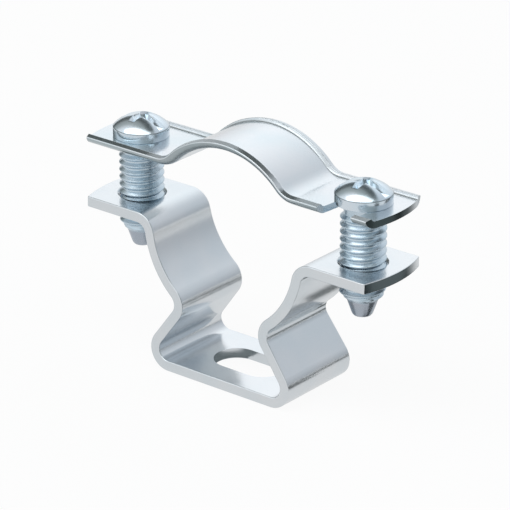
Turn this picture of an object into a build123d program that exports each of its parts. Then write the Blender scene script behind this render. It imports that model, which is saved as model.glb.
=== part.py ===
"""Saddle clamp for a pipe or conduit: a bent strip bracket, a lipped saddle and two captive clamp screws.

Frame: millimetres. +Z points away from the wall, +X runs along the clamp and +Y along the pipe.
The origin is the middle of the base slot, on the face that lies against the wall.
"""
from build123d import *
import os
from math import atan2, cos, degrees, radians, sin, sqrt

# Pipe that the clamp is drawn closed on
PIPE_D = 23.0
PIPE_HEIGHT = 20.45            # pipe centre above the wall

# Bracket: one strip, bent from the base up both legs to the seats and the ears
STRIP_T = 1.4
BEND_R = 1.45                  # inside radius of every bend
BASE_W = 13.0                  # strip width at the wall
EAR_W = 11.4                   # strip width at the ears
BASE_FLAT = 17.1               # flat length between the two base bends
LEG_LEAN = 36.3                # degrees that each leg leans inwards
EAR_TOP = 20.6                 # top of the ears above the wall
EDGE_R = 0.15                  # rounding of the sheared edges

# Ears: the flat beyond the last bend, with the threaded hole and a convex end
HOLE_LAND = 1.0                # flat left between the bend and the hole
END_LAND = 2.45                # and between the hole and the crown of the end
END_R = 17.0                   # radius of the ends, seen from above, the same on the saddle
CORNER_R = 0.3

# Fixing slot in the base
SLOT_L = 10.4
SLOT_W = 6.1

# Saddle: thinner strip with both long edges curled up
SADDLE_T = 0.9
SADDLE_W = 11.25
SADDLE_GRIP = 0.25             # gap over the pipe, as drawn
FOOT_R = 2.95                  # inside radius of the bends beside the arch
FOOT_ANGLE = 45.0              # steepest slope of the arch, in degrees
CURL_R = 0.55                  # inside radius of the curled edges
CURL_ANGLE = 76.0
NECK_HOLE_D = 5.2              # hole in one ear, and width of the open slot in the other

# Clamp screws
THREAD_D = 5.9                 # over the crests
THREAD_CLEARANCE = 0.05        # radial, screw in ear
NECK_CLEARANCE = 0.1           # radial, neck in saddle
NECK_PLAY = 0.2                # free height of the saddle on the neck
HEAD_GAP = 0.03                # head above saddle
HEAD_D = 7.35
HEAD_WALL = 1.25
DOME_H = 1.6
RIM_R = 0.15
THREAD_REACH = 12.9            # underside of head to end of thread
THREAD_LEAD = 0.55             # height of the chamfer that ends the thread
PILOT_D = 4.1
PILOT_END_D = 2.5
PILOT_L = 2.3
PILOT_R = 0.35
HOLE_CHAMFER = 0.25
SLOT_DRIVE_W = 1.65
SLOT_DRIVE_DEPTH = 1.35        # below the top of the dome
CROSS_W = 1.25
CROSS_SPAN = 4.6
CROSS_DEPTH = 2.1
DRIVE_ANGLE = {"left": 12.0, "right": 8.0}

# What follows from them
SEAT_R = PIPE_D / 2
HOLE_R = THREAD_D / 2 + THREAD_CLEARANCE
BEND_REACH = SEAT_R + BEND_R + STRIP_T                # pipe's centre to the centres of the bends beside a seat
EAR_BEND_Z = EAR_TOP - STRIP_T - BEND_R
EAR_BEND_X = sqrt(BEND_REACH ** 2 - (PIPE_HEIGHT - EAR_BEND_Z) ** 2)
SCREW_X = EAR_BEND_X + HOLE_LAND + HOLE_R
LENGTH = 2 * (SCREW_X + HOLE_R + END_LAND)
ARCH_Z = PIPE_HEIGHT + SADDLE_GRIP                    # centre of the saddle's arch
FOOT_REACH = SEAT_R + FOOT_R + SADDLE_T               # and from there to the centres of its feet
FOOT_Z = ARCH_Z + FOOT_REACH * cos(radians(FOOT_ANGLE))
SADDLE_HEIGHT = FOOT_Z - FOOT_R - SADDLE_T            # underside of the saddle's ears above the wall


def arc_at(centre, radius, start, end):
    """Arc that is run through from heading start to heading end, in degrees. Headings that grow turn left."""
    turn = 1 if end > start else -1
    point = lambda h: (centre[0] + turn * radius * sin(radians(h)), centre[1] - turn * radius * cos(radians(h)))
    return ThreePointArc(point(start), point((start + end) / 2), point(end))


def side_line(arcs, first, last):
    """Curve from the point first, through the arcs in turn, to the point last, joined by straight runs."""
    with BuildLine() as line:
        here = Vector(*first)
        for arc in arcs:
            if (arc @ 0 - here).length > 1e-6:
                Line(here, arc @ 0)
            add(arc)
            here = arc @ 1
        Line(here, last)
    return line.wire()


def ribbon(upper, lower):
    """Flat face between two side lines of one half, mirrored to both halves."""
    with BuildSketch(Plane.XZ) as sketch:
        with BuildLine():
            add(upper)
            add(lower)
            Line(upper @ 0, lower @ 0)
            Line(upper @ 1, lower @ 1)
        make_face()
        mirror(about=Plane.YZ)
    return sketch.sketch


def end_form(height):
    """Block with the plan view of both convex ends, wider than either strip."""
    width = BASE_W + STRIP_T
    x = corner_x(width)
    with BuildSketch() as plan:
        with BuildLine():
            ThreePointArc((x, -width / 2), (LENGTH / 2, 0), (x, width / 2))
            ThreePointArc((-x, width / 2), (-LENGTH / 2, 0), (-x, -width / 2))
            Line((x, width / 2), (-x, width / 2))
            Line((x, -width / 2), (-x, -width / 2))
        make_face()
    return extrude(plan.sketch, height)


def bracket_line(depth):
    """Half of the strip's long edge, depth below its upper surface."""
    seat = Vector(0, PIPE_HEIGHT)
    inner, outer = BEND_R + depth, BEND_R + STRIP_T - depth
    base_centre = Vector(BASE_FLAT / 2, STRIP_T + BEND_R)
    heading = 90 + LEG_LEAN
    along = Vector(cos(radians(heading)), sin(radians(heading)))
    outward = Vector(along.Y, -along.X)
    # waist: a bend that touches the leg's line and the seat
    start = base_centre + outward * (2 * BEND_R + STRIP_T)
    to_start = start - seat
    run = -to_start.dot(along) - sqrt(to_start.dot(along) ** 2 - to_start.dot(to_start) + BEND_REACH ** 2)
    waist_centre = start + along * run
    waist_heading = degrees(atan2(waist_centre.X, PIPE_HEIGHT - waist_centre.Y))
    ear_heading = degrees(atan2(EAR_BEND_X, PIPE_HEIGHT - EAR_BEND_Z))
    arcs = [
        arc_at((base_centre.X, base_centre.Y), inner, 0, heading),
        arc_at((waist_centre.X, waist_centre.Y), outer, heading, waist_heading),
        arc_at((0, PIPE_HEIGHT), SEAT_R + depth, waist_heading, ear_heading),
        arc_at((EAR_BEND_X, EAR_BEND_Z), outer, ear_heading, 0),
    ]
    return side_line(arcs, (0, STRIP_T - depth), (LENGTH / 2 + 1, EAR_TOP - depth))


def make_bracket():
    strip = extrude(ribbon(bracket_line(0), bracket_line(STRIP_T)), BASE_W / 2, both=True)
    taper = Polygon((-BASE_W / 2, 0), (BASE_W / 2, 0), (EAR_W / 2, EAR_TOP), (-EAR_W / 2, EAR_TOP), align=None)
    strip = strip & extrude(Plane.YZ * taper, LENGTH, both=True)
    strip = strip & end_form(EAR_TOP)
    corners = [e for e in strip.edges() if abs(abs(e.center().X) - corner_x(EAR_W)) < 0.2 and e.length < 1.2 * STRIP_T]
    strip = fillet(corners, CORNER_R)
    strip = fillet(long_edges(strip), EDGE_R)
    slot = Pos(0, 0, STRIP_T / 2) * extrude(SlotOverall(SLOT_L, SLOT_W), STRIP_T, both=True)
    strip -= slot
    for x in (-SCREW_X, SCREW_X):
        strip -= Pos(x, 0, EAR_TOP - STRIP_T / 2) * Cylinder(HOLE_R, 2 * STRIP_T)
    rims = [e for e in strip.edges().filter_by(GeomType.CIRCLE)
            if abs(e.radius - HOLE_R) < 1e-4 and e.center().Z > EAR_TOP - STRIP_T - 0.01]
    return chamfer(rims, HOLE_CHAMFER)


def corner_x(width):
    """Distance from the middle to the corners of an end, for a strip of this width."""
    return LENGTH / 2 - END_R + sqrt(END_R ** 2 - (width / 2) ** 2)


def long_edges(strip):
    """Edges of the strip's sides and ends, between them and its two broad surfaces."""
    sides = [f for f in strip.faces() if abs(f.normal_at(f.center()).Y) > 0.99 or is_end(f)]
    side_edges = {e for f in sides for e in f.edges()}
    broad = [f for f in strip.faces() if f not in sides]
    return [e for e in side_edges if any(e in f.edges() for f in broad)]


def is_end(face):
    return abs(face.center().X) > corner_x(BASE_W) and abs(face.normal_at(face.center()).Z) < 0.01


def saddle_section():
    """Cross-section of the saddle at the arch's crown: flat, with both edges curled up. Its underside is at Y 0."""
    outside = CURL_R + SADDLE_T
    centre_x = SADDLE_W / 2 - outside * sin(radians(min(CURL_ANGLE, 90)))
    with BuildSketch() as sketch:
        with BuildLine():
            lower = arc_at((centre_x, outside), outside, 0, CURL_ANGLE)
            upper = arc_at((centre_x, outside), CURL_R, 0, CURL_ANGLE)
            add(lower)
            add(upper)
            Line(lower @ 1, upper @ 1)
            Line((0, 0), lower @ 0)
            Line((0, SADDLE_T), upper @ 0)
            Line((0, 0), (0, SADDLE_T))
        make_face()
        mirror(about=Plane.YZ)
        tips = sketch.vertices().sort_by(Axis.Y)[-4:]
        fillet(tips, EDGE_R)
    return sketch.sketch


def saddle_path():
    """Underside of the saddle from the crown of its arch to one end."""
    foot_centre = (FOOT_REACH * sin(radians(FOOT_ANGLE)), FOOT_Z)
    arcs = [arc_at((0, ARCH_Z), SEAT_R, 0, -FOOT_ANGLE), arc_at(foot_centre, FOOT_R + SADDLE_T, -FOOT_ANGLE, 0)]
    return side_line(arcs, arcs[0] @ 0, (LENGTH / 2 + 1, SADDLE_HEIGHT))


def make_saddle():
    path = Plane.XZ * saddle_path()
    crown = path @ 0
    section = Plane(origin=crown, x_dir=(0, 1, 0), z_dir=(1, 0, 0)) * saddle_section()
    half = sweep(section, path)
    strip = half + mirror(half, about=Plane.YZ)
    top = crown.Z + CURL_R + SADDLE_T
    strip = strip & end_form(top)
    strip -= Pos(-SCREW_X, 0, SADDLE_HEIGHT) * Cylinder(NECK_HOLE_D / 2, 4 * SADDLE_T)
    return strip - saddle_slot()


def saddle_slot():
    """Slot in the right ear, open at the front. It lies on a circle about the left screw, as the ear swings on one."""
    r = NECK_HOLE_D / 2
    swing = 2 * SCREW_X
    lane = Pos(-SCREW_X, 0) * (Circle(swing + r) - Circle(swing - r))
    front = Pos(SCREW_X, -SADDLE_W / 2) * Rectangle(3 * NECK_HOLE_D, SADDLE_W)
    plan = (lane & front) + Pos(SCREW_X, 0) * Circle(r)
    return Pos(0, 0, SADDLE_HEIGHT - SADDLE_T) * extrude(plan, 4 * SADDLE_T)


def make_screw(side):
    x = SCREW_X if side == "right" else -SCREW_X
    seat_z = SADDLE_HEIGHT + SADDLE_T + HEAD_GAP
    neck_bottom = SADDLE_HEIGHT - NECK_PLAY
    thread_end = seat_z - THREAD_REACH
    neck_r = NECK_HOLE_D / 2 - NECK_CLEARANCE
    top = seat_z + HEAD_WALL + DOME_H
    shoulder = THREAD_D / 2 - neck_r
    rim = seat_z + HEAD_WALL
    tip = thread_end - PILOT_L
    dome_mid = dome_height(HEAD_D / 4)
    with BuildSketch(Plane.XZ) as profile:
        with BuildLine():
            Polyline((0, tip), (PILOT_END_D / 2, tip), (PILOT_D / 2, thread_end),
                     (THREAD_D / 2 - THREAD_LEAD, thread_end), (THREAD_D / 2, thread_end + THREAD_LEAD),
                     (THREAD_D / 2, neck_bottom - shoulder), (neck_r, neck_bottom), (neck_r, seat_z),
                     (HEAD_D / 2, seat_z), (HEAD_D / 2, rim))
            ThreePointArc((HEAD_D / 2, rim), (HEAD_D / 4, rim + dome_mid), (0, top))
            Line((0, top), (0, tip))
        make_face()
    screw = revolve(profile.sketch, Axis.Z)
    rounds = [e for e in screw.edges().filter_by(GeomType.CIRCLE)
              if abs(e.radius - HEAD_D / 2) < 1e-4]
    screw = fillet(rounds, RIM_R)
    screw = fillet(screw.edges().filter_by(GeomType.CIRCLE).sort_by(Axis.Z)[0], PILOT_R)
    return Pos(x, 0, 0) * (screw - Rot(0, 0, DRIVE_ANGLE[side]) * drive(top))


def dome_height(radius):
    """Height of the dome over its rim at a radius from the screw's axis."""
    ball = ((HEAD_D / 2) ** 2 + DOME_H ** 2) / (2 * DOME_H)
    return sqrt(ball ** 2 - radius ** 2) - (ball - DOME_H)


def drive(top):
    """Cutter for the recess: a slot right across the head and a tapered cross in its middle."""
    slot = Pos(0, 0, top - SLOT_DRIVE_DEPTH) * Box(2 * HEAD_D, SLOT_DRIVE_W, 2 * HEAD_D, align=(Align.CENTER, Align.CENTER, Align.MIN))
    opening = Rectangle(CROSS_SPAN, CROSS_W) + Rectangle(CROSS_W, CROSS_SPAN)
    cross = extrude(Pos(0, 0, top) * opening, CROSS_DEPTH, dir=(0, 0, -1), taper=12)
    return slot + cross


os.makedirs("parts", exist_ok=True)
NODES = {
    "bracket": make_bracket(),
    "saddle": make_saddle(),
    "screw_left": make_screw("left"),
    "screw_right": make_screw("right"),
}
for name, solid in NODES.items():
    export_step(solid, f"parts/{name}.step")
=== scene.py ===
# %% [markdown]
# # A zinc-plated saddle clamp
# The clamp holds a pipe off the wall: a strip bracket that is bent six times, a thin saddle with curled
# edges over it, and two machine screws that pull the saddle down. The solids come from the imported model.
# This script gives them their finish, and models the screws again with real threads.

# %% The frame
from math import cos, pi, radians, sin, sqrt

import bmesh
import bpy
from mathutils import Matrix, Vector


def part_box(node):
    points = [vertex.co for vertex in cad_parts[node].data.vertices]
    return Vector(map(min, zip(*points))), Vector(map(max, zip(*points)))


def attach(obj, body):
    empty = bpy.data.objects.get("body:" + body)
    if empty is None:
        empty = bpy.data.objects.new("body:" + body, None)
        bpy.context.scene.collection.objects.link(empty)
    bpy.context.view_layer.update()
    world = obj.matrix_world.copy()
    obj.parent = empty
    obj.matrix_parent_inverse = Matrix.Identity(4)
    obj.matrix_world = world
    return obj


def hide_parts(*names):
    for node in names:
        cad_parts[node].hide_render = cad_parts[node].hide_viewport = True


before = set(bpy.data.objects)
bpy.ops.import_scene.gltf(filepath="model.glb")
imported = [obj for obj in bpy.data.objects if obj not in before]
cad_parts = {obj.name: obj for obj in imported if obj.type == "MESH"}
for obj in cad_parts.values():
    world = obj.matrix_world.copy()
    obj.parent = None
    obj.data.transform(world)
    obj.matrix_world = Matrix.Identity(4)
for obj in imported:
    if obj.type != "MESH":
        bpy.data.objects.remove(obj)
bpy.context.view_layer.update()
MM = 0.001
scene = bpy.context.scene
scene.view_settings.view_transform = "Standard"
for node in sorted(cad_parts):
    low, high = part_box(node)
    print(node, "is", [round(size / MM, 2) for size in high - low], "mm")

# %% [markdown]
# ## The camera
# The photograph was taken with a long lens from the front right, a little above the clamp. A camera could
# be placed by eye, but the bends of the bracket fix it better: its place was fitted to them. The distance
# and the focal length belong together, because they set how strongly the far ear shrinks.

# %% Camera
AZIMUTH, ELEVATION = radians(39.088), radians(23.261)
DISTANCE = 0.41954
LENS, SENSOR = 232.94, 36.0
AIM_HEIGHT, AIM_RIGHT, AIM_UP = 20 * MM, 0.654 * MM, -3.192 * MM      # up and right as the lens sees them
back = Vector((sin(AZIMUTH) * cos(ELEVATION), -cos(AZIMUTH) * cos(ELEVATION), sin(ELEVATION)))
right = Vector((cos(AZIMUTH), sin(AZIMUTH), 0))
aim = Vector((0, 0, AIM_HEIGHT)) + right * AIM_RIGHT + back.cross(right) * AIM_UP

camera = bpy.data.objects.new("camera", bpy.data.cameras.new("camera"))
scene.collection.objects.link(camera)
camera.data.lens, camera.data.sensor_width = LENS, SENSOR
camera.data.clip_start, camera.data.clip_end = 0.01, 20
camera.rotation_mode = "QUATERNION"
camera.rotation_quaternion = (-back).to_track_quat("-Z", "Y")
camera.location = aim + back * DISTANCE
scene.camera = camera
print("camera stands at", [round(v, 4) for v in camera.location])

# %% [markdown]
# ## A small kit for shader nodes
# A finish is a chain of nodes. It could be drawn by hand in the shader editor, but these helpers let each
# material below read like a recipe. Each one adds a node and hands back the socket that the next step plugs
# in.


# %% Shader helpers
def add_node(tree, kind, inputs=None, **settings):
    """Adds a node. An input is a value, or the output socket of another node."""
    node = tree.nodes.new(kind)
    for name, value in settings.items():
        setattr(node, name, value)
    for name, value in (inputs or {}).items():
        if isinstance(value, bpy.types.NodeSocket):
            tree.links.new(value, node.inputs[name])
        else:
            node.inputs[name].default_value = value
    return node


def maths(tree, operation, *values):
    """Result of a Math node. Each value is a number or a socket."""
    return add_node(tree, "ShaderNodeMath", dict(enumerate(values)), operation=operation).outputs[0]


def blend(tree, share, under, over, how="MIX"):
    """Colour over on colour under, by a share from 0 to 1."""
    mix = add_node(tree, "ShaderNodeMix", {"Factor": share, "A": under, "B": over},
                   data_type="RGBA", blend_type=how)
    return mix.outputs["Result"]


def remap(tree, value, span, result=(0.0, 1.0), kind="LINEAR"):
    """Turns the range span of a value into the range result, and holds it at both ends."""
    inputs = dict(enumerate((value, *span, *result)))
    return add_node(tree, "ShaderNodeMapRange", inputs, interpolation_type=kind).outputs[0]


def fade(tree, value, start, full):
    """0 where value is at start and 1 where it is at full, with soft ends."""
    return remap(tree, value, (start, full), kind="SMOOTHSTEP")


def axes(tree, vector):
    """X, Y and Z of a vector, each as a socket."""
    return add_node(tree, "ShaderNodeSeparateXYZ", {0: vector}).outputs


def fresh_material(name):
    """New material with no nodes, and its tree."""
    material = bpy.data.materials.new(name)
    material.use_nodes = True
    material.node_tree.nodes.clear()
    return material, material.node_tree


# %% [markdown]
# ## The floor
# The clamp stands on a white table. More light on the scene would turn the table white, but the zinc would
# clip too. So the floor glows a little for what the lens and the metal see, and the rest of it stays matt
# and takes the soft shadow.

# %% Floor
FLOOR_SIZE = 6.0
FLOOR_DROP = 0.05 * MM               # keeps the floor clear of the base's underside
FLOOR_GLOW = 0.92                    # share of the glow in what is seen
FLOOR_MIRRORED = 0.84                # how bright the metal sees that glow
mesh = bpy.data.meshes.new("floor")
bm = bmesh.new()
bmesh.ops.create_grid(bm, x_segments=1, y_segments=1, size=FLOOR_SIZE / 2)
bm.to_mesh(mesh)
bm.free()
floor = bpy.data.objects.new("floor", mesh)
floor.location.z = -FLOOR_DROP
scene.collection.objects.link(floor)

# %% Floor material
material, tree = fresh_material("white_table")
path = add_node(tree, "ShaderNodeLightPath").outputs
mirrored = maths(tree, "MAXIMUM", path["Is Glossy Ray"], path["Is Transmission Ray"])
seen = maths(tree, "MAXIMUM", path["Is Camera Ray"], mirrored)
matt = add_node(tree, "ShaderNodeBsdfDiffuse", {"Color": (0.9, 0.9, 0.9, 1)})
power = remap(tree, path["Is Camera Ray"], (0.0, 1.0), (FLOOR_MIRRORED, 1.0))
glow = add_node(tree, "ShaderNodeEmission", {"Color": (1, 1, 1, 1), "Strength": power})
share = maths(tree, "MULTIPLY", seen, FLOOR_GLOW)
mix = add_node(tree, "ShaderNodeMixShader", {0: share, 1: matt.outputs[0], 2: glow.outputs[0]})
add_node(tree, "ShaderNodeOutputMaterial", {"Surface": mix.outputs[0]})
mesh.materials.append(material)
print("floor is", FLOOR_SIZE, "m wide and glows with", FLOOR_GLOW)

# %% [markdown]
# ## The room
# Plated metal shows its surroundings more than its own colour. A picture of a studio could give them, but a
# few broad tones are enough and stay adjustable: a bright wall behind the clamp that is greyer at the right
# and near its foot, and a grey ceiling that is darkest where it meets the wall.

# %% Tones of the room
WALL_SIDE = (0.31, 0.95, -0.34)      # the room's directions are told apart by how far they lie along this
WALL_EDGE = (0.1, 0.22)              # and along it the ceiling gives way to the wall
WALL_LEFT, WALL_RIGHT = (1.22, 1.24, 1.26, 1), (0.68, 0.71, 0.75, 1)
WALL_TURN = (-0.5, 0.65)             # X of a direction, where the left tone starts to give way and is gone
WALL_FOOT, WALL_SHADE = (0.0, 0.42), 0.7      # Z of a direction, and the darkest tone at the foot
CEILING = ((-0.66, (0.95, 0.97, 0.98)), (-0.52, (0.6, 0.62, 0.62)), (-0.42, (0.42, 0.45, 0.44)),
           (-0.22, (0.34, 0.36, 0.35)), (-0.1, (0.12, 0.13, 0.125)), (0.1, (0.085, 0.1, 0.1)))
CEILING_RIGHT = (0.55, 0.57, 0.57, 1)
CEILING_TURN, CEILING_PALE = (0.28, 0.6), 0.7

# %% World
world = bpy.data.worlds.new("studio")
scene.world = world
world.use_nodes = True
tree = world.node_tree
tree.nodes.clear()
direction = add_node(tree, "ShaderNodeTexCoord").outputs["Generated"]
sides = axes(tree, direction)
across = add_node(tree, "ShaderNodeVectorMath", {0: direction, 1: WALL_SIDE},
                  operation="DOT_PRODUCT").outputs["Value"]

tones = add_node(tree, "ShaderNodeValToRGB", {0: remap(tree, across, (-1.0, 1.0))})
ramp = tones.color_ramp
ramp.elements.remove(ramp.elements[1])
for stop, (along, grey) in enumerate(CEILING):
    element = ramp.elements[0] if stop == 0 else ramp.elements.new(0.5)
    element.position, element.color = 0.5 + 0.5 * along, (*grey, 1)
pale = remap(tree, sides["X"], CEILING_TURN, (0.0, CEILING_PALE), "SMOOTHSTEP")
ceiling = blend(tree, pale, tones.outputs["Color"], CEILING_RIGHT)

wall = blend(tree, fade(tree, sides["X"], *WALL_TURN), WALL_LEFT, WALL_RIGHT)
shade = remap(tree, sides["Z"], WALL_FOOT, (WALL_SHADE, 1.0))
wall = add_node(tree, "ShaderNodeVectorMath", {0: wall, "Scale": shade}, operation="SCALE").outputs["Vector"]
room = blend(tree, fade(tree, across, *WALL_EDGE), ceiling, wall)
background = add_node(tree, "ShaderNodeBackground", {"Color": room, "Strength": 1.0})
add_node(tree, "ShaderNodeOutputWorld", {"Surface": background.outputs[0]})
print("room has", len(CEILING), "ceiling tones and", len(tree.nodes), "nodes")

# %% [markdown]
# ## The lamp
# The clamp's shadow is wide and faint, so the light is large. One long soft box hangs above, on the side of
# the lens. A sun or a point lamp would give hard edges and small white sparks on the screws.

# %% Soft box
LAMP_PLACE, LAMP_SIZE = (0.0, -0.29, 0.9), (1.35, 0.42)
LAMP_ALONG, LAMP_RADIANCE = (0.94, 0.35, 0), 1.35


def hang_soft_box(name, place, size, along, radiance):
    """Rectangular lamp that faces the clamp. Its width lies along a direction, and radiance 1 looks white."""
    width, depth = size
    lamp = bpy.data.objects.new(name, bpy.data.lights.new(name, "AREA"))
    lamp.data.shape, lamp.data.size, lamp.data.size_y = "RECTANGLE", width, depth
    lamp.data.energy = radiance * pi * width * depth
    facing = (Vector(place) - aim).normalized()
    side = (Vector(along) - facing * facing.dot(Vector(along))).normalized()
    turned = Matrix((side, facing.cross(side), facing)).transposed()
    lamp.rotation_mode = "QUATERNION"
    lamp.rotation_quaternion = turned.to_quaternion()
    lamp.location = place
    scene.collection.objects.link(lamp)
    print(name, "gives", round(lamp.data.energy, 2), "W")


hang_soft_box("lamp_top", LAMP_PLACE, LAMP_SIZE, LAMP_ALONG, LAMP_RADIANCE)

# %% [markdown]
# ## The dark cards
# Cards lie on the table, as a photographer puts them round shiny metal. The lens doesn't see them, but the
# round walls of the screws show the black one at the right as a dark stripe, and the bends of the strip
# show the grey ones behind the legs as lines. The grey card under the slot is painted shade: it stands in for
# the base's shadow on the table, as the slot's walls see it. Painted stripes would stay put when the view
# turns, and cards don't.

# %% Dark cards
CARDS = {                            # ends in X and in Y, in millimetres, and how pale the card is
    "card_for_screws": ((44, 150), (-21, 10), 0.07),
    "card_for_bends": ((25.5, 44), (10, 44), 0.14),
    "card_far_behind": ((60, 110), (50, 110), 0.1),
    "card_for_base_bend": ((19, 25.5), (-3, 9), 0.1),
    "card_beside_base": ((25.5, 34), (2, 10), 0.1),
    "card_for_left_waist": ((8, 13), (12, 30), 0.2),
    "card_behind_waist": ((18, 25.5), (25, 44), 0.14),
    # painted shade: the grey card under the slot stands in for the base's shadow on the table
    "shadow_card_under_slot": ((-7.5, -2.8), (-3, 3), 0.4),
}
CARD_LIFT = 0.05 * MM
CARD_RED = 0.93                      # the cards are a little cool


def lay_card(name, across, along, colour):
    """Card flat on the table that only reflections show."""
    mesh = bpy.data.meshes.new(name)
    bm = bmesh.new()
    bmesh.ops.create_grid(bm, x_segments=1, y_segments=1, size=0.5 * MM)
    bmesh.ops.scale(bm, verts=bm.verts, vec=(across[1] - across[0], along[1] - along[0], 1))
    bmesh.ops.translate(bm, verts=bm.verts, vec=(sum(across) / 2 * MM, sum(along) / 2 * MM, CARD_LIFT))
    bm.to_mesh(mesh)
    bm.free()
    card = bpy.data.objects.new(name, mesh)
    scene.collection.objects.link(card)
    card.visible_camera = card.visible_diffuse = card.visible_shadow = False
    material, tree = fresh_material(name)
    paper = add_node(tree, "ShaderNodeBsdfDiffuse", {"Color": colour})
    add_node(tree, "ShaderNodeOutputMaterial", {"Surface": paper.outputs[0]})
    mesh.materials.append(material)


for name, (across, along, grey) in CARDS.items():
    lay_card(name, across, along, (CARD_RED * grey, grey, grey, 1))
print(len(CARDS), "cards lie on the table")

# %% [markdown]
# ## Bright zinc
# Zinc plate with a light blue passivate is a satin metal. Its colour drifts a little between blue and straw
# from place to place, and a fine grain breaks up its gloss. One flat colour would look like plastic. The
# drift is one node group of two noises, so that strip, saddle and screws share it, each with values of its
# own.

# %% Zinc group
CLOUD_SPAN, GRAIN_SPAN = (0.35, 0.65), (0.3, 0.7)      # the part of each noise that is used


def make_zinc_group():
    """Colour that drifts between two tones, and a grain for the gloss and the relief."""
    group = bpy.data.node_groups.new("zinc_drift", "ShaderNodeTree")
    number, colour = "NodeSocketFloat", "NodeSocketColor"
    for name, kind in (("Position", "NodeSocketVector"), ("Cool", colour), ("Warm", colour),
                       ("Cloud Scale", number), ("Grain Scale", number),
                       ("Roughness Low", number), ("Roughness High", number)):
        group.interface.new_socket(name, in_out="INPUT", socket_type=kind)
    for name, kind in (("Color", colour), ("Roughness", number), ("Height", number)):
        group.interface.new_socket(name, in_out="OUTPUT", socket_type=kind)
    given = add_node(group, "NodeGroupInput").outputs
    place = given["Position"]
    clouds = add_node(group, "ShaderNodeTexNoise", {
        "Vector": place, "Scale": given["Cloud Scale"], "Detail": 3.0}).outputs["Fac"]
    grain = add_node(group, "ShaderNodeTexNoise", {
        "Vector": place, "Scale": given["Grain Scale"], "Detail": 4.0, "Roughness": 0.6}).outputs["Fac"]
    drift = blend(group, remap(group, clouds, CLOUD_SPAN), given["Cool"], given["Warm"])
    rough = remap(group, grain, GRAIN_SPAN, (given["Roughness Low"], given["Roughness High"]))
    add_node(group, "NodeGroupOutput", {"Color": drift, "Roughness": rough, "Height": grain})
    return group


ZINC_DRIFT = make_zinc_group()
print("zinc group has", len(ZINC_DRIFT.nodes), "nodes")


# %% Zinc material
GRAIN_DEPTH = 0.01 * MM


def zinc(name, cool, warm, scales, roughness, bump, zones, blurred=None):
    """Zinc finish. scales are those of the clouds and the grain, zones are (mask function, factor on the
    colour), and blurred is (mask function, added roughness)."""
    material, tree = fresh_material(name)
    place = add_node(tree, "ShaderNodeTexCoord").outputs
    drift = add_node(tree, "ShaderNodeGroup", node_tree=ZINC_DRIFT)
    tree.links.new(place["Object"], drift.inputs["Position"])
    for socket, value in (("Cool", (*cool, 1)), ("Warm", (*warm, 1)),
                          ("Cloud Scale", scales[0]), ("Grain Scale", scales[1]),
                          ("Roughness Low", roughness[0]), ("Roughness High", roughness[1])):
        drift.inputs[socket].default_value = value
    colour, rough, grain = drift.outputs
    for mask, tint in zones:
        colour = blend(tree, mask(tree, place), colour, (*tint, 1), "MULTIPLY")
    if blurred:
        mask, added = blurred
        rough = maths(tree, "MULTIPLY_ADD", mask(tree, place), added, rough)
    relief = add_node(tree, "ShaderNodeBump", {"Height": grain, "Strength": bump, "Distance": GRAIN_DEPTH})
    metal = add_node(tree, "ShaderNodeBsdfPrincipled", {
        "Base Color": colour, "Roughness": rough, "Normal": relief.outputs[0], "Metallic": 1.0})
    add_node(tree, "ShaderNodeOutputMaterial", {"Surface": metal.outputs[0]})
    print(name, "has", len(zones), "zones of its own")
    return material


# %% [markdown]
# ## Worked edges and painted shade
# The tools leave a mark: curling dulls the saddle's edges. Other marks are painted shade: the end faces that
# face right are darkened, and so is the outer side of the saddle's curled edges where it faces down. Extra
# materials on picked faces could show that, but the solids keep one mesh each. So a mask reads where a point
# lies and which way it faces, and only there changes the colour or the gloss.

# %% Edge masks
# Each pair is where a mask starts and where it is full.
END_X, END_Y = (21.5 * MM, 22 * MM), (5.5 * MM, 1.5 * MM)
END_FACING = 0.75, 0.92              # X of a normal on the end faces
EDGE_STARTS = 4.4 * MM, 5.2 * MM     # distance from the middle of the saddle
EDGE_BLURS = 4.0 * MM, 4.8 * MM
CURL_LOOKS_DOWN, CURL_LOOKS_OUT = (0.15, -0.05), (0.5 * MM, 2 * MM)
LEFT_EAR_ENDS = -13.5 * MM, -11 * MM
RIGHT_FOOT = (1.5 * MM, 3.5 * MM), (11 * MM, 12.5 * MM)      # X at its start and at its end
BACK_HALF = -1 * MM, 1 * MM


def painted_end_shade(tree, place):
    """Painted shade: the end faces that face right, darkened most towards their front corner."""
    spot = axes(tree, place["Object"])
    facing = fade(tree, axes(tree, place["Normal"])["X"], *END_FACING)
    both = maths(tree, "MULTIPLY", facing, fade(tree, spot["X"], *END_X))
    return maths(tree, "MULTIPLY", both, fade(tree, spot["Y"], *END_Y))


def painted_curl_shade(tree, place):
    """Painted shade: the outer side of the curled edges, darkened where it faces down."""
    spot, way = axes(tree, place["Object"]), axes(tree, place["Normal"])
    edge = fade(tree, maths(tree, "ABSOLUTE", spot["Y"]), *EDGE_STARTS)
    outward = fade(tree, maths(tree, "MULTIPLY", way["Y"], spot["Y"]), *CURL_LOOKS_OUT)
    under = maths(tree, "MULTIPLY", fade(tree, way["Z"], *CURL_LOOKS_DOWN), outward)
    return maths(tree, "MULTIPLY", edge, under)


def curled_edge(tree, place):
    """Both curled edges, but for the front one at the left ear and by the right foot, which stays bright."""
    spot = axes(tree, place["Object"])
    edge = fade(tree, maths(tree, "ABSOLUTE", spot["Y"]), *EDGE_BLURS)
    foot = maths(tree, "SUBTRACT", *[fade(tree, spot["X"], *end) for end in RIGHT_FOOT])
    front = maths(tree, "SUBTRACT", fade(tree, spot["X"], *LEFT_EAR_ENDS), foot)
    either = maths(tree, "MAXIMUM", front, fade(tree, spot["Y"], *BACK_HALF))
    return maths(tree, "MULTIPLY", edge, either)
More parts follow.
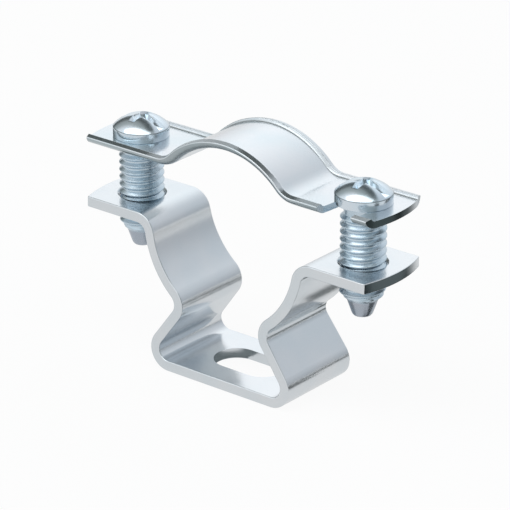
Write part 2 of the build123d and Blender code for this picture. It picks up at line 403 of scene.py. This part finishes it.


# %% [markdown]
# ## The two strips
# Bracket and saddle are cut from different coils of plated strip, so their tones differ a little. The
# saddle's thin sheet is the smoother one. Their meshes stay as the solids have them, and only the material
# changes.

# %% Strip finishes
# The darker end faces and the darker underside of the saddle's curls are painted shade.
STRIP_ZINC = zinc("bracket_zinc", (0.67, 0.72, 0.755), (0.715, 0.745, 0.77), (160, 2600), (0.17, 0.23), 0.2,
                  [(painted_end_shade, (0.13, 0.16, 0.165))])
SADDLE_ZINC = zinc("saddle_zinc", (0.65, 0.72, 0.76), (0.71, 0.74, 0.77), (180, 2600), (0.15, 0.2), 0.03,
                   [(painted_end_shade, (0.08, 0.1, 0.1)), (painted_curl_shade, (0.62, 0.66, 0.66))], (curled_edge, 0.24))
for node, finish in (("bracket", STRIP_ZINC), ("saddle", SADDLE_ZINC)):
    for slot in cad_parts[node].material_slots:
        slot.material = finish

# %% [markdown]
# ## The screws
# Each screw is an M6 machine screw with a raised head, a smooth neck that the saddle hangs on, a thread and
# a short pilot that finds the hole. The solid's shank is a plain cylinder, and a bump could only shade it, so
# the screw is modelled again with a thread that also shows in its outline. The sizes follow the solids to a
# few hundredths of a millimetre.

# %% Screw sizes
SCREW_X = 18.094 * MM
HEAD_R, HEAD_BOTTOM, HEAD_RIM, HEAD_TOP = 3.67 * MM, 28.61 * MM, 29.88 * MM, 31.47 * MM
NECK_R, NECK_BOTTOM = 2.5 * MM, 27.5 * MM
PITCH, CREST_R, ROOT_R = 1.0 * MM, 2.94 * MM, 2.42 * MM
DOME_RISE = HEAD_TOP - HEAD_RIM
DOME_BALL = (HEAD_R ** 2 + DOME_RISE ** 2) / (2 * DOME_RISE)
THREAD_END = 15.73 * MM
LEAD_SLOPE = 1.1                     # how fast the thread grows out of the pilot, as radius over height
CORE_R = 2.3 * MM
PILOT_R, PILOT_TIP_R, PILOT_TIP = 2.04 * MM, 1.26 * MM, 13.44 * MM
print("the dome is part of a ball of", round(DOME_BALL / MM, 2), "mm radius")

# %% [markdown]
# ## Finish of the screws
# The screws are plated in a barrel, and they come out bluer than the strip. The thread is a little darker and
# duller. A dark line along the rim of the head is painted shade, and the lighter tone in the recess is
# painted light. Heights and distances from the screw's axis tell these places apart, so no face has to be
# picked by hand.

# %% Screw finish
# Each pair is where a mask starts and where it is full.
PILOT_Z = 15.8 * MM, 15.6 * MM
THREAD_Z = HEAD_BOTTOM, HEAD_BOTTOM - 0.5 * MM
RIM_OFF = 0.08 * MM, 0.03 * MM       # height above or below the rim
DOME_DEPTH = DOME_BALL - 0.03 * MM, DOME_BALL - 0.08 * MM
RECESS_Z = HEAD_RIM - 0.7 * MM, HEAD_RIM - 0.5 * MM
WALL_DEPTH = HEAD_R - 0.02 * MM, HEAD_R - 0.1 * MM


def pilot(tree, place):
    """The turned pilot below the thread."""
    return fade(tree, axes(tree, place["Object"])["Z"], *PILOT_Z)


def rolled_thread(tree, place):
    """The thread, below the head, which is tinted a little darker."""
    return fade(tree, axes(tree, place["Object"])["Z"], *THREAD_Z)


def painted_rim_shade(tree, place):
    """Painted shade: a dark line along the edge between the dome and the wall of the head."""
    off = maths(tree, "SUBTRACT", axes(tree, place["Object"])["Z"], HEAD_RIM)
    return fade(tree, maths(tree, "ABSOLUTE", off), *RIM_OFF)


def length_of(tree, *sides):
    """Length of a vector with two or three sides."""
    vector = add_node(tree, "ShaderNodeCombineXYZ", dict(enumerate(sides))).outputs[0]
    return add_node(tree, "ShaderNodeVectorMath", {0: vector}, operation="LENGTH").outputs["Value"]


def recess(tree, place):
    """Painted light: the walls inside the head and under its dome, made lighter than the rest."""
    spot = axes(tree, place["Object"])
    off_axis = maths(tree, "SUBTRACT", maths(tree, "ABSOLUTE", spot["X"]), SCREW_X)
    rise = maths(tree, "SUBTRACT", spot["Z"], HEAD_TOP - DOME_BALL)
    from_centre = length_of(tree, off_axis, spot["Y"], rise)
    both = maths(tree, "MULTIPLY", fade(tree, from_centre, *DOME_DEPTH), fade(tree, spot["Z"], *RECESS_Z))
    return maths(tree, "MULTIPLY", both, fade(tree, length_of(tree, off_axis, spot["Y"]), *WALL_DEPTH))


# The dark line on the rim is painted shade, and the lighter recess is painted light.
SCREW_ZINC = zinc("screw_zinc", (0.63, 0.74, 0.82), (0.70, 0.77, 0.83), (300, 3200), (0.15, 0.21), 0.1,
                  [(pilot, (0.75, 0.7, 0.71)), (rolled_thread, (0.84, 0.88, 0.9)),
                   (painted_rim_shade, (0.42, 0.43, 0.43)), (recess, (1.16, 1.1, 1.06))], (rolled_thread, 0.1))

# %% [markdown]
# ## Tools for round steel
# A lathe makes everything round on a screw, and so does the first helper: it spins half an outline about
# the axis. Pieces are then joined and cut with Boolean modifiers, which give one closed skin and are baked
# at once.

# %% Mesh helpers
MERGE, THREAD_MERGE = 0.0005 * MM, 0.002 * MM      # points closer than this become one


def object_from(name, bm):
    """Object at the origin with the mesh of bm, which is used up."""
    mesh = bpy.data.meshes.new(name)
    bm.to_mesh(mesh)
    bm.free()
    made = bpy.data.objects.new(name, mesh)
    scene.collection.objects.link(made)
    return made


def lathe(name, profile, steps):
    """Closed round body from (radius, height) points that start and end on the axis."""
    bm = bmesh.new()
    dots = [bm.verts.new((r, 0, z)) for r, z in profile]
    line = [bm.edges.new(pair) for pair in zip(dots, dots[1:])]
    bmesh.ops.spin(bm, geom=dots + line, cent=(0, 0, 0), axis=(0, 0, 1), angle=2 * pi, steps=steps,
                   use_merge=True)
    bmesh.ops.remove_doubles(bm, verts=bm.verts, dist=MERGE)
    bmesh.ops.recalc_face_normals(bm, faces=bm.faces)
    return object_from(name, bm)


def bake_modifiers(piece):
    """Makes what the modifiers show the piece's own mesh."""
    bpy.context.view_layer.update()
    seen = piece.evaluated_get(bpy.context.evaluated_depsgraph_get())
    mesh = bpy.data.meshes.new_from_object(seen)
    piece.modifiers.clear()
    piece.data = mesh


def combine(base, tools, operation):
    """Boolean of base with each tool in turn. The tools are used up."""
    for tool in tools:
        cut = base.modifiers.new("cut", "BOOLEAN")
        cut.operation, cut.solver, cut.object = operation, "EXACT", tool
    bake_modifiers(base)
    for tool in tools:
        bpy.data.objects.remove(tool)
    return base


# %% [markdown]
# ## The head
# The head is a low dome on a short wall, with a slot and a cross punched in it, so that a flat or a cross
# driver fits. The real recess narrows with depth. A sculpted hole would be hard to keep sharp, so bars that
# taper are cut out of the dome, and a small bevel softens the edges as plating does.

# %% Head
HEAD_STEPS, HEAD_EDGE = 96, 0.06 * MM
DRIVE_EDGE, DRIVE_EDGE_ANGLE = 0.035 * MM, radians(28)
BAR_ABOVE = 0.5 * MM                 # the cutters stand this far out of the crown
NECK_IN_CORE = 1.2 * MM              # the head's neck reaches into the core, so that both join
# The bars of the drive, in millimetres. Length and width are at the top and at the bottom.
SLOT = {"length": (9.0, 9.0), "width": (1.42, 1.05), "depth": 1.4, "tip": 1}
ARM = {"length": (4.5, 3.4), "width": (1.7, 0.85), "depth": 2.1, "tip": 0.62}


def drive_bar(name, angle, length, width, depth, tip):
    """Cutter for one bar of the drive. tip is the share of the width that is left at its ends."""
    bm = bmesh.new()
    bmesh.ops.create_cube(bm, size=1)
    long_edges = [e for e in bm.edges if abs(e.verts[0].co.x - e.verts[1].co.x) > 0.5]
    bmesh.ops.subdivide_edges(bm, edges=long_edges, cuts=1)
    for v in bm.verts:
        low = int(v.co.z < 0)
        v.co.y *= width[low] * MM * (tip if v.co.x else 1)
        v.co.x *= length[low] * MM
        v.co.z = HEAD_TOP - depth * MM if low else HEAD_TOP + BAR_ABOVE
    bmesh.ops.rotate(bm, verts=bm.verts, matrix=Matrix.Rotation(radians(angle), 3, "Z"))
    return object_from(name, bm)


def dome_profile(points=10):
    """Points of the head from the rim to the crown, on one ball."""
    radii = [HEAD_R * (1 - i / points) for i in range(points)]
    return [(r, HEAD_TOP - DOME_BALL + sqrt(DOME_BALL ** 2 - r ** 2)) for r in radii] + [(0, HEAD_TOP)]


def make_head(angle):
    """Head and neck, with the drive turned by an angle in degrees."""
    neck_end = HEAD_BOTTOM - NECK_IN_CORE
    wall = [(0, neck_end), (NECK_R, neck_end), (NECK_R, HEAD_BOTTOM),
            (HEAD_R - HEAD_EDGE, HEAD_BOTTOM), (HEAD_R, HEAD_BOTTOM + HEAD_EDGE)]
    head = lathe("head", wall + dome_profile(), HEAD_STEPS)
    bars = [drive_bar("slot", angle, **SLOT)] + [drive_bar("arm", angle + turn, **ARM) for turn in (0, 90)]
    combine(head, bars, "DIFFERENCE")
    soft = head.modifiers.new("soft_edges", "BEVEL")
    soft.width, soft.segments = DRIVE_EDGE, 2
    soft.limit_method, soft.angle_limit = "ANGLE", DRIVE_EDGE_ANGLE
    bake_modifiers(head)
    print("head has", len(head.data.polygons), "faces")
    return head


# %% [markdown]
# ## The thread
# The thread is rolled: one tooth that winds up the shank, a millimetre higher each turn. Rings would look
# the same from far off, but they don't climb. So the tooth's outline is spun with a rise of one pitch a
# turn, and the skin is then cut flat at both ends and drawn in there, which gives the run-out of the real
# thread.

# %% Thread
THREAD_STEPS, SPARE_TURNS = 64, 4
# Half a tooth's outline, as shares of the pitch and of the depth.
TOOTH = ((0.0, 0.0), (0.09, 0.02), (0.15, 0.1), (0.41, 0.9), (0.455, 0.98), (0.5, 1.0))


def make_thread(start):
    """Closed skin of the thread. start is the height where its first tooth begins."""
    bm = bmesh.new()
    rising = [(ROOT_R + (CREST_R - ROOT_R) * deep, start + PITCH * along) for along, deep in TOOTH]
    falling = [(r, 2 * start + PITCH - z) for r, z in reversed(rising[:-1])]
    dots = [bm.verts.new((r, 0, z)) for r, z in rising + falling]
    line = [bm.edges.new(pair) for pair in zip(dots, dots[1:])]
    turns = int((NECK_BOTTOM - THREAD_END) / PITCH) + SPARE_TURNS
    bmesh.ops.spin(bm, geom=dots + line, cent=(0, 0, 0), axis=(0, 0, 1), dvec=(0, 0, PITCH / THREAD_STEPS),
                   angle=2 * pi * turns, steps=THREAD_STEPS * turns, use_merge=False)
    bmesh.ops.remove_doubles(bm, verts=bm.verts, dist=THREAD_MERGE)
    for height, up in ((THREAD_END, -1), (NECK_BOTTOM, 1)):
        bmesh.ops.bisect_plane(bm, geom=bm.verts[:] + bm.edges[:] + bm.faces[:], dist=MERGE,
                               plane_co=(0, 0, height), plane_no=(0, 0, up), clear_outer=True)
    draw_in_ends(bm)
    bmesh.ops.holes_fill(bm, edges=[e for e in bm.edges if e.is_boundary], sides=0)
    bmesh.ops.triangulate(bm, faces=[f for f in bm.faces if len(f.verts) > 4])
    bmesh.ops.recalc_face_normals(bm, faces=bm.faces)
    print("thread has", len(bm.faces), "faces, open edges", len([e for e in bm.edges if not e.is_manifold]))
    return object_from("thread", bm)


def draw_in_ends(bm):
    """Pulls the thread in to a cone at the pilot and at the neck."""
    for v in bm.verts:
        most = min(PILOT_R + LEAD_SLOPE * (v.co.z - THREAD_END), NECK_R + NECK_BOTTOM - v.co.z)
        r = sqrt(v.co.x ** 2 + v.co.y ** 2)
        if r > most:
            v.co.x, v.co.y = v.co.x * most / r, v.co.y * most / r


# %% [markdown]
# ## Core and pilot
# Inside the thread runs a plain core, and below it a pilot with a rounded tip. They are one turned outline.
# Its ends reach a little into the thread and the neck, because a union joins skins that cross, not ones
# that touch.

# %% Core
CORE_STEPS, OVERLAP, NECK_OVERLAP = 64, 0.02 * MM, 0.3 * MM
# The rounding of the tip, in millimetres past its radius and above its end.
TIP_ROUND = ((-0.3, 0.0), (-0.12, 0.05), (0.02, 0.2), (0.12, 0.4))


def make_core():
    """Pilot and core, up to where the neck starts."""
    tip = [(PILOT_TIP_R + out * MM, PILOT_TIP + up * MM) for out, up in TIP_ROUND]
    core_end, lead_end = NECK_BOTTOM + NECK_OVERLAP, THREAD_END + (CORE_R - PILOT_R) / LEAD_SLOPE
    shank = [(PILOT_R, THREAD_END + OVERLAP), (CORE_R, lead_end + OVERLAP), (CORE_R, core_end), (0, core_end)]
    return lathe("core", [(0, PILOT_TIP)] + tip + shank, CORE_STEPS)


# %% [markdown]
# ## Whole screws
# A screw stands wherever its last turn ended, so each has a drive angle and a thread start of its own. Both
# are made by the same steps, and each rides on the body of its solid and takes its place.

# %% Whole screws
SMOOTH_BELOW = radians(32)
# Each screw's place, the angle of its drive in degrees, and the height where its thread starts.
SCREWS = {"left": (-SCREW_X, 2, 12.79 * MM), "right": (SCREW_X, 4, 12.59 * MM)}


def make_screw(name, x, drive_angle, thread_start):
    """Whole screw as one closed skin, at its place along X."""
    screw = combine(make_core(), [make_thread(thread_start), make_head(drive_angle)], "UNION")
    screw.name = screw.data.name = name
    bm = bmesh.new()
    bm.from_mesh(screw.data)
    bmesh.ops.translate(bm, verts=bm.verts, vec=(x, 0, 0))
    open_edges = len([e for e in bm.edges if not e.is_manifold])
    print(name, "has", len(bm.faces), "faces and", open_edges, "open edges")
    bm.to_mesh(screw.data)
    bm.free()
    screw.data.shade_smooth()
    screw.data.set_sharp_from_angle(angle=SMOOTH_BELOW)
    screw.data.materials.clear()
    screw.data.materials.append(SCREW_ZINC)
    return screw


for side, (x, drive_angle, thread_start) in SCREWS.items():
    body = "screw_" + side
    screw = make_screw("threaded_screw_" + side, x, drive_angle, thread_start)
    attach(screw, body)
    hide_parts(body)
